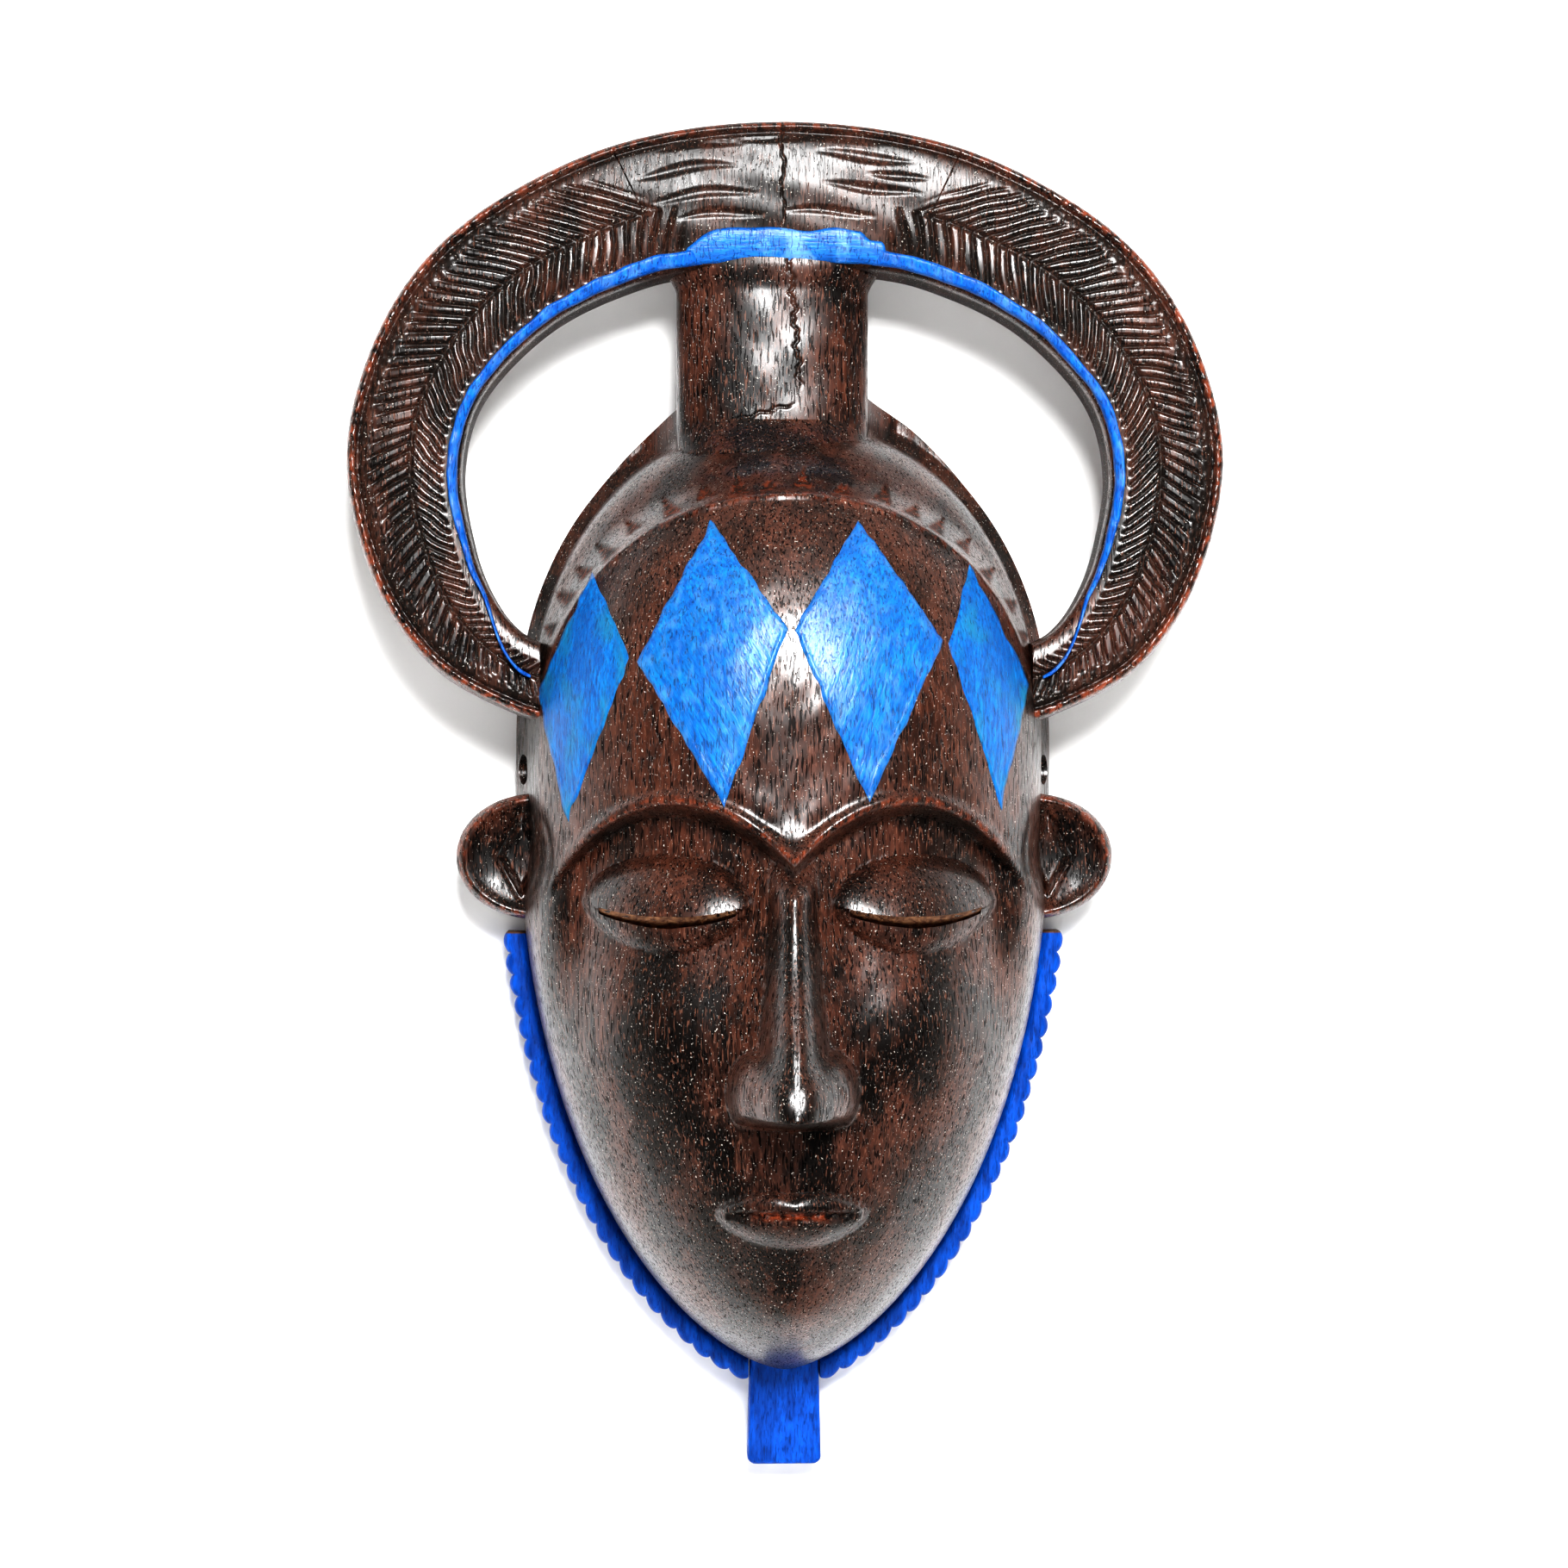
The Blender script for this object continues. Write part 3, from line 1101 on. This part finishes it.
def wood(name):
    """Near-black stained hardwood with red undertones, vertical pores, worn edges and a gloss varnish."""
    n = Nodes(name)
    blotch = n.ramp(n.noise((15, 15, 30), detail=6, roughness=0.62), 0.45, 0.58)
    blotch = n.math("ADD", blotch, n.times(n.mark("warm"), 0.45), clamp=True)
    streak = n.ramp(n.noise((1.5, 1.5, 24), detail=4), 0.44, 0.64)
    fine = n.ramp(n.noise((1.2, 1.2, 4.5), detail=4, offset=(8, 2, 6)), 0.46, 0.58)
    pore = n.ramp(n.noise((0.5, 0.5, 4.4), detail=1.0), 0.57, 0.61)
    pale_pore = n.ramp(n.noise((0.4, 0.4, 3.2), detail=1, offset=(7, 3, 5)), 0.62, 0.66)
    patchy = n.ramp(n.noise((1.6, 1.6, 2.6), detail=4, offset=(2, 9, 4)), 0.46, 0.60)
    cut = n.mark("cut")
    chip = n.ramp(n.noise((0.42, 0.42, 0.42), detail=0, offset=(5, 5, 5)), 0.765, 0.80)
    colour = n.mix(blotch, BLACK_STAIN, RED_STAIN)
    colour = n.mix(n.times(n.times(streak, blotch), 0.65), colour, STREAK_BROWN)
    colour = n.mix(n.times(fine, 0.5), colour, GRAIN_BLACK)
    colour = n.mix(n.times(pore, 0.9), colour, PORE_BLACK)
    colour = n.mix(n.times(pale_pore, 0.65), colour, PORE_PALE)
    colour = n.mix(n.times(n.mark("worn"), patchy, clamp=True), colour, WORN_RED)
    colour = n.mix(n.times(cut, 0.6), colour, CUT_BROWN)
    n.set("Base Color", n.mix(chip, colour, CHIP_WHITE))
    smear = n.ramp(n.noise((13, 13, 20), detail=5, offset=(3, 1, 8)), 0.38, 0.62, 0.40, 0.58)
    n.set("Roughness", n.math("ADD", smear, n.times(n.math("MAXIMUM", pore, cut), 0.3)))
    n.set("Specular IOR Level", 0.1)
    n.set("Coat Weight", n.math("SUBTRACT", 0.95, n.math("MAXIMUM", n.times(cut, 0.85), n.times(pore, 0.6))))
    n.set("Coat Roughness", 0.28)
    n.set("Coat IOR", 1.6)
    ripple = n.times(n.noise((5, 5, 14), detail=5, offset=(1, 4, 2)), 0.9)
    height = n.math("SUBTRACT", ripple, n.times(pore, 0.8))
    n.bump(n.math("ADD", height, n.times(chip, 0.8)), 0.16)
    flow = n.math("SUBTRACT", n.noise((4, 4, 11), detail=5, offset=(6, 4, 3)), n.times(pore, 0.5))
    n.bump(flow, 0.12, "Coat Normal")
    return n.material


def raw_wood():
    """Pale unstained wood inside the eye slits."""
    n = Nodes("raw_wood")
    grain = n.ramp(n.noise((1.5, 6, 1.0), detail=5), 0.38, 0.64)
    n.set("Base Color", n.mix(grain, (0.13, 0.055, 0.028), (0.34, 0.17, 0.085)))
    n.set("Roughness", n.ramp(grain, 0.0, 1.0, 0.72, 0.86))
    n.bump(grain, 0.15)
    return n.material


WOOD_UNDER_PAINT = (0.005, 0.010, 0.026)
BARE_WOOD = (0.10, 0.05, 0.03)
TEAL = (0.012, 0.21, 0.30)
PALE = (0.26, 0.52, 0.86)


def paint(name, deep, light, stroke, wood_show=0.2, rim_show=0.5, gloss=0.4, turn=0.0, tints=()):
    """Brushed blue paint between two blues, thin enough in places to let the dark wood through.

    stroke is the cell size of its brush marks and turn leans them; a tint is a colour, an amount and a size.
    """
    n = Nodes(name)
    brush = n.noise(stroke, detail=4, roughness=0.62, turn=turn)
    broad = n.noise([7 * size for size in stroke], detail=3, offset=(4, 2, 7), turn=turn)
    colour = n.mix(n.ramp(brush, 0.37, 0.62), deep, light)
    colour = n.mix(n.ramp(broad, 0.44, 0.58, 0.0, 0.45), colour, deep)
    for k, (tint, amount, size) in enumerate(tints):
        patch = n.noise((size, size, 1.5 * size), detail=4, offset=(3 * k + 1, 8, 2 * k))
        colour = n.mix(n.ramp(patch, 0.50, 0.68, 0.0, amount), colour, tint)
    pore = n.ramp(n.noise((0.42, 0.42, 3.0), detail=1.0), 0.60, 0.65)
    thin = n.noise((2.5, 2.5, 7), detail=6, roughness=0.65, offset=(9, 6, 1), turn=turn)
    thin = n.times(n.ramp(thin, 0.54, 0.70), wood_show)
    show = n.math("MAXIMUM", n.times(pore, min(wood_show * 2.4, 0.85)), thin, clamp=True)
    edge = n.ramp(n.mark("rim"), 0.0, 0.03, rim_show, 0.0)
    show = n.math("MAXIMUM", show, n.times(edge, n.ramp(brush, 0.48, 0.6)))
    colour = n.mix(show, colour, WOOD_UNDER_PAINT)
    n.set("Base Color", n.mix(n.mark("bare"), colour, BARE_WOOD))
    n.set("Roughness", n.ramp(brush, 0.3, 0.7, 0.44, 0.60))
    n.set("Specular IOR Level", 0.15)
    n.set("Coat Weight", gloss)
    n.set("Coat IOR", 1.5)
    n.set("Coat Roughness", 0.32)
    n.bump(n.math("SUBTRACT", brush, n.times(pore, 0.5)), 0.24)
    n.bump(n.math("SUBTRACT", brush, n.times(pore, 0.7)), 0.14, "Coat Normal")
    return n.material


def bead_blue():
    deep, light = (0.0008, 0.072, 0.36), (0.0025, 0.17, 0.64)
    return paint("bead_blue", deep, light, (0.8, 0.8, 3.0), tints=[(PALE, 0.2, 4)])


def band_blue():
    deep, light = (0.0008, 0.085, 0.36), (0.0025, 0.20, 0.64)
    return paint("band_blue", deep, light, (6.0, 0.6, 0.6), gloss=0.7, tints=[(PALE, 0.45, 5)])


def beard_blue():
    deep, light = (0.0002, 0.045, 0.27), (0.0004, 0.100, 0.55)
    return paint("beard_blue", deep, light, (1.4, 1.4, 6.0), wood_show=0.14, rim_show=0.0, gloss=0.12)


AZURE_TURNS = (0.25, 0.5, -0.35, -0.2)


def azure(index):
    """The lozenges' paint, each brushed its own way; the outer two are duller and patchier."""
    deep, light = (0.0006, 0.088, 0.34), (0.0016, 0.205, 0.58)
    outer = index in (0, 3)
    tints = [(TEAL, 0.65, 9)] if outer else [(TEAL, 0.2, 6), (PALE, 0.15, 3)]
    gloss = 0.4 if outer else 0.9
    name = f"lozenge_azure_{index}"
    return paint(name, deep, light, (0.8, 0.8, 9.0), gloss=gloss, turn=AZURE_TURNS[index], tints=tints)


WALL_GLOW = 0.03
FLOOR_GLOW = 0.1
SCREEN_GLOW = 0.82


def wall_paint(name, glow):
    n = Nodes(name)
    n.set("Base Color", n.mix(n.noise((400, 400, 400)), (0.90, 0.90, 0.90), (0.93, 0.93, 0.93)))
    n.set("Roughness", 0.9)
    n.set("Specular IOR Level", 0.0)
    n.set("Emission Color", (1.0, 1.0, 1.0))
    n.set("Emission Strength", glow)
    return n


def front_only(n):
    """Makes a material clear from behind, so that the wall doesn't hide the mask's back."""
    clear = n.add("ShaderNodeBsdfTransparent")
    side = n.add("ShaderNodeNewGeometry").outputs["Backfacing"]
    chosen = n.add("ShaderNodeMixShader")
    n.link(side, chosen.inputs[0])
    n.link(n.shader.outputs[0], chosen.inputs[1])
    n.link(clear.outputs[0], chosen.inputs[2])
    n.link(chosen.outputs[0], n.tree.nodes["Material Output"].inputs["Surface"])


# ---- stage, light and camera


ROOM = 6.0
WALL_Y = 0.0015
FLOOR_Z = CAD_BOX[0][2] - 0.16
# The far screens: both ends of each along X and Y
SCREENS = {
    "screen_front": ((-ROOM, -ROOM), (ROOM, -ROOM)),
    "screen_left": ((-ROOM, 0), (-ROOM, -ROOM)),
    "screen_right": ((ROOM, -ROOM), (ROOM, 0)),
}


def stage_sheet(name, corners, material):
    mesh = bpy.data.meshes.new(name)
    mesh.from_pydata([Vector(c) for c in corners], [], [tuple(range(len(corners)))])
    mesh.materials.append(material)
    obj = new_object(name, mesh)
    return obj


def upright_sheet(name, start, end, material):
    """A sheet from the floor up to the room's height, over the line between two floor points."""
    corners = [(*start, FLOOR_Z), (*end, FLOOR_Z), (*end, ROOM), (*start, ROOM)]
    return stage_sheet(name, corners, material)


def stage():
    """A white wall that shows only from the front, a pale floor and far screens that only the camera sees."""
    white = wall_paint("studio_wall", WALL_GLOW)
    front_only(white)
    wall = upright_sheet("wall", (-ROOM, WALL_Y), (ROOM, WALL_Y), white.material)
    wall.visible_shadow = False
    screen = wall_paint("studio_screen", SCREEN_GLOW).material
    for name, (start, end) in SCREENS.items():
        far = upright_sheet(name, start, end, screen)
        far.visible_diffuse = False
        far.visible_glossy = False
        far.visible_shadow = False
    corners = [(x * ROOM, y * ROOM, FLOOR_Z) for x, y in ((-1, -1), (1, -1), (1, 1), (-1, 1))]
    floor = stage_sheet("floor", corners, wall_paint("studio_floor", FLOOR_GLOW).material)
    floor.visible_glossy = False


def turn_to(obj, aim):
    obj.rotation_euler = (Vector(aim) - obj.location).to_track_quat("-Z", "Y").to_euler()


KEY_PLACE = (0.11, -1.28, 0.49)
KEY_AIM = (0.0, -0.03, -0.08)
KEY_SIZE = 0.34
KEY_POWER = 25


def key_softbox():
    light = bpy.data.lights.new("key_softbox", "AREA")
    light.shape = "RECTANGLE"
    light.size = KEY_SIZE
    light.size_y = KEY_SIZE
    light.energy = KEY_POWER
    obj = new_object("key_softbox", light)
    obj.location = KEY_PLACE
    turn_to(obj, KEY_AIM)


WARM_WHITE = (1.0, 0.94, 0.86, 1.0)
CEILING_RAMP = (0.15, 0.9, 0.0, 0.22)  # direction's Z from and to, strength from and to
BACK_RAMP = (-0.5, 0.3, 0.02, 0.8)  # direction's Y from and to, strength from and to


def white_room():
    """A warm white world that is brightest behind the mask, paler overhead and nearly dark in front."""
    world = bpy.data.worlds.new("white_room")
    world.use_nodes = True
    tree = world.node_tree
    split = tree.nodes.new("ShaderNodeSeparateXYZ")
    tree.links.new(tree.nodes.new("ShaderNodeTexCoord").outputs["Generated"], split.inputs["Vector"])
    total = tree.nodes.new("ShaderNodeMath")
    total.operation = "MAXIMUM"
    tree.links.new(ramp_node(tree, split.outputs["Z"], *CEILING_RAMP), total.inputs[0])
    tree.links.new(ramp_node(tree, split.outputs["Y"], *BACK_RAMP), total.inputs[1])
    background = tree.nodes["Background"]
    background.inputs["Color"].default_value = WARM_WHITE
    tree.links.new(total.outputs[0], background.inputs["Strength"])
    bpy.context.scene.world = world
    bpy.context.scene.view_settings.view_transform = "Standard"
    bpy.context.scene.view_settings.look = "High Contrast"


CAMERA_PLACE = (-0.030, -0.900, -0.087)
CAMERA_AIM = (0.0009, -0.015, -0.087)
CAMERA_ANGLE = 26.2
CAMERA_SHIFT = (-0.0028, 0.0016)


def camera():
    data = bpy.data.cameras.new("camera")
    data.sensor_width = 36
    data.angle = math.radians(CAMERA_ANGLE)
    data.dof.use_dof = False
    data.shift_x, data.shift_y = CAMERA_SHIFT
    obj = new_object("camera", data)
    obj.location = CAMERA_PLACE
    turn_to(obj, CAMERA_AIM)
    bpy.context.scene.camera = obj


# ---- making

HORN = np.linspace(BRIDGE_END, 0.985, 560)
BRIDGE = np.linspace(-BRIDGE_END, BRIDGE_END, 380)
BEAD = np.linspace(0.13, 0.96, 420)
BAND = np.linspace(-0.155, 0.15, 360)


def crest(dark):
    crest_piece("left_horn_wood", -HORN, dark, "horn_wood", "left_horn")
    crest_piece("right_horn_wood", HORN, dark, "horn_wood", "right_horn")
    crest_piece("crest_bridge_wood", BRIDGE, dark, "bridge_wood", "crest_bridge")


def crest_paint(bead, band):
    crest_bead("left_horn_bead_paint", -BEAD, bead_width, 1.2, bead, "bead_paint", "left_horn_bead", 5)
    crest_bead("right_horn_bead_paint", BEAD, bead_width, 1.2, bead, "bead_paint", "right_horn_bead", 15)
    crest_bead("bridge_band_paint", BAND, band_width, 0.7, band, "bead_paint", "bridge_band", 25)


def ears(dark):
    ear("left_ear_wood", -1, dark, "left_ear")
    ear("right_ear_wood", 1, dark, "right_ear")


def beard_and_tab(cobalt):
    beard("left_beard_paint", -1, cobalt, "left_beard")
    beard("right_beard_paint", 1, cobalt, "right_beard")
    tab(cobalt)


dark_wood = wood("varnished_dark_wood")
head(dark_wood, raw_wood())
crest(dark_wood)
crest_paint(bead_blue(), band_blue())
post(dark_wood)
ears(dark_wood)
beard_and_tab(beard_blue())
for index, (name, corners) in enumerate(LOZENGES.items()):
    lozenge(name, corners, 80 + 10 * index, azure(index))
stage()
key_softbox()
white_room()
camera()
